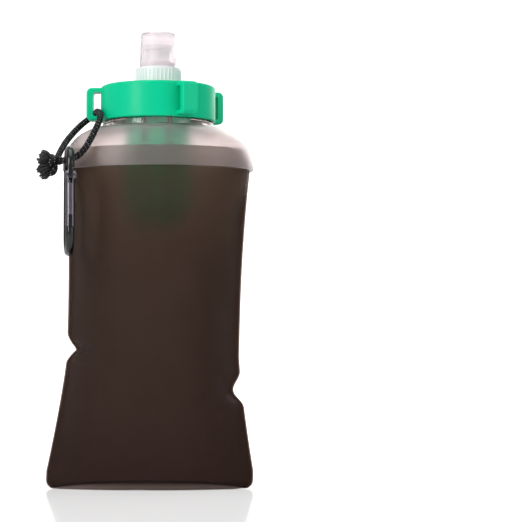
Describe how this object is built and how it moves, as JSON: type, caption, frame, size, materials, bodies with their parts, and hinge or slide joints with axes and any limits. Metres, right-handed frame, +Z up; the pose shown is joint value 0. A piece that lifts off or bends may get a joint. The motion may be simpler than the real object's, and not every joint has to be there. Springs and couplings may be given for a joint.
{
  "type": "folding water bottle",
  "caption": "Soft folding water bottle: film pouch, frosted shoulder, screw lid with filter and capped spout, and a carabiner on a cord loop.",
  "frame": {"origin": "middle of the base, on the surface that the bottle stands on", "axes": "+Z up along the bottle, +X to the right across its width, the front faces -Y"},
  "size_m": [0.131, 0.0946, 0.2828],
  "materials": {
    "film": "smoky translucent film, matt",
    "frosted": "frosted translucent moulding, clear at the neck",
    "green": "bright green, gloss",
    "white": "white, satin",
    "nozzle": "white, soft",
    "clear": "clear plastic",
    "silicone": "pale silicone",
    "oring": "black rubber",
    "fibre": "white hollow fibre",
    "mesh": "white woven mesh",
    "cord": "black braid with pale flecks",
    "black_metal": "black anodised",
    "steel": "bare metal",
    "spring": "steel wire"
  },
  "bodies": {
    "pouch": {"pouch_front_panel": "film", "pouch_back_panel": "film", "pouch_base_panel": "film"},
    "neck": {"neck_shoulder": "frosted"},
    "gasket": {"lid_gasket": "silicone"},
    "carrier": {"filter_carrier": "green", "cartridge_head": "white", "cartridge_oring": "oring", "fiber_bundle": "fibre", "filter_mesh_sleeve": "mesh"},
    "ring": {"lid_ring": "green"},
    "cage": {"filter_cage": "green"},
    "washer": {"spout_washer": "silicone"},
    "collar": {"spout_collar": "white"},
    "nozzle": {"spout_nozzle": "nozzle"},
    "cap": {"dust_cap": "clear"},
    "cord": {"cord_loop": "cord", "cord_knot": "cord"},
    "carabiner": {"carabiner_body": "black_metal", "carabiner_rivet": "steel"},
    "gate": {"carabiner_gate": "steel", "carabiner_spring": "spring"}
  },
  "joints": [
    {"name": "pouch_collapse", "type": "slide", "parent": "pouch", "child": "neck", "axis": [0, 0, 1], "range_m": [-0.09, 0], "deforming": ["pouch_front_panel", "pouch_back_panel"]},
    {"name": "lid_lift_off", "type": "slide", "parent": "neck", "child": "gasket", "axis": [0, 0, 1], "range_m": [0, 0.11]},
    {"name": "lid_rise", "type": "slide", "parent": "gasket", "child": "carrier", "axis": [0, 0, 1], "range_m": [0, 0.0041]},
    {"name": "lid_turn", "type": "hinge", "parent": "carrier", "child": "ring", "pos_m": [0.0048, 0, 0.238], "axis": [0, 0, 1], "range_deg": [0, 90]},
    {"name": "cage_pull", "type": "slide", "parent": "carrier", "child": "cage", "axis": [0, 0, 1], "range_m": [-0.065, 0]},
    {"name": "collar_rise", "type": "slide", "parent": "carrier", "child": "washer", "axis": [0, 0, 1], "range_m": [0, 0.0059]},
    {"name": "collar_turn", "type": "hinge", "parent": "washer", "child": "collar", "pos_m": [0.0048, 0, 0.254], "axis": [0, 0, 1], "range_deg": [0, 504]},
    {"name": "spout_pull", "type": "slide", "parent": "collar", "child": "nozzle", "axis": [0, 0, 1], "range_m": [0, 0.005]},
    {"name": "dust_cap_pull", "type": "slide", "parent": "collar", "child": "cap", "axis": [0, 0, 1], "range_m": [0, 0.03]},
    {"name": "cord_swing", "type": "hinge", "parent": "ring", "child": "cord", "pos_m": [-0.0331, 0, 0.2331], "axis": [0, 1, 0], "range_deg": [0, 80]},
    {"name": "carabiner_swing", "type": "hinge", "parent": "cord", "child": "carabiner", "pos_m": [-0.0472, -0.0375, 0.2004], "axis": [0.9903, 0.1392, 0], "range_deg": [-35, 8]},
    {"name": "gate_open", "type": "hinge", "parent": "carabiner", "child": "gate", "pos_m": [-0.04539, -0.05037, 0.1893], "axis": [0.9903, 0.1392, 0], "range_deg": [0, 25], "stiffness_Nm_per_rad": 0.01, "springref_deg": -22.92}
  ],
  "couplings": [
    {"joint": "lid_rise", "follows": "lid_turn", "m_per_rad": 0.0025465},
    {"joint": "collar_rise", "follows": "collar_turn", "m_per_rad": 0.00066845}
  ]
}
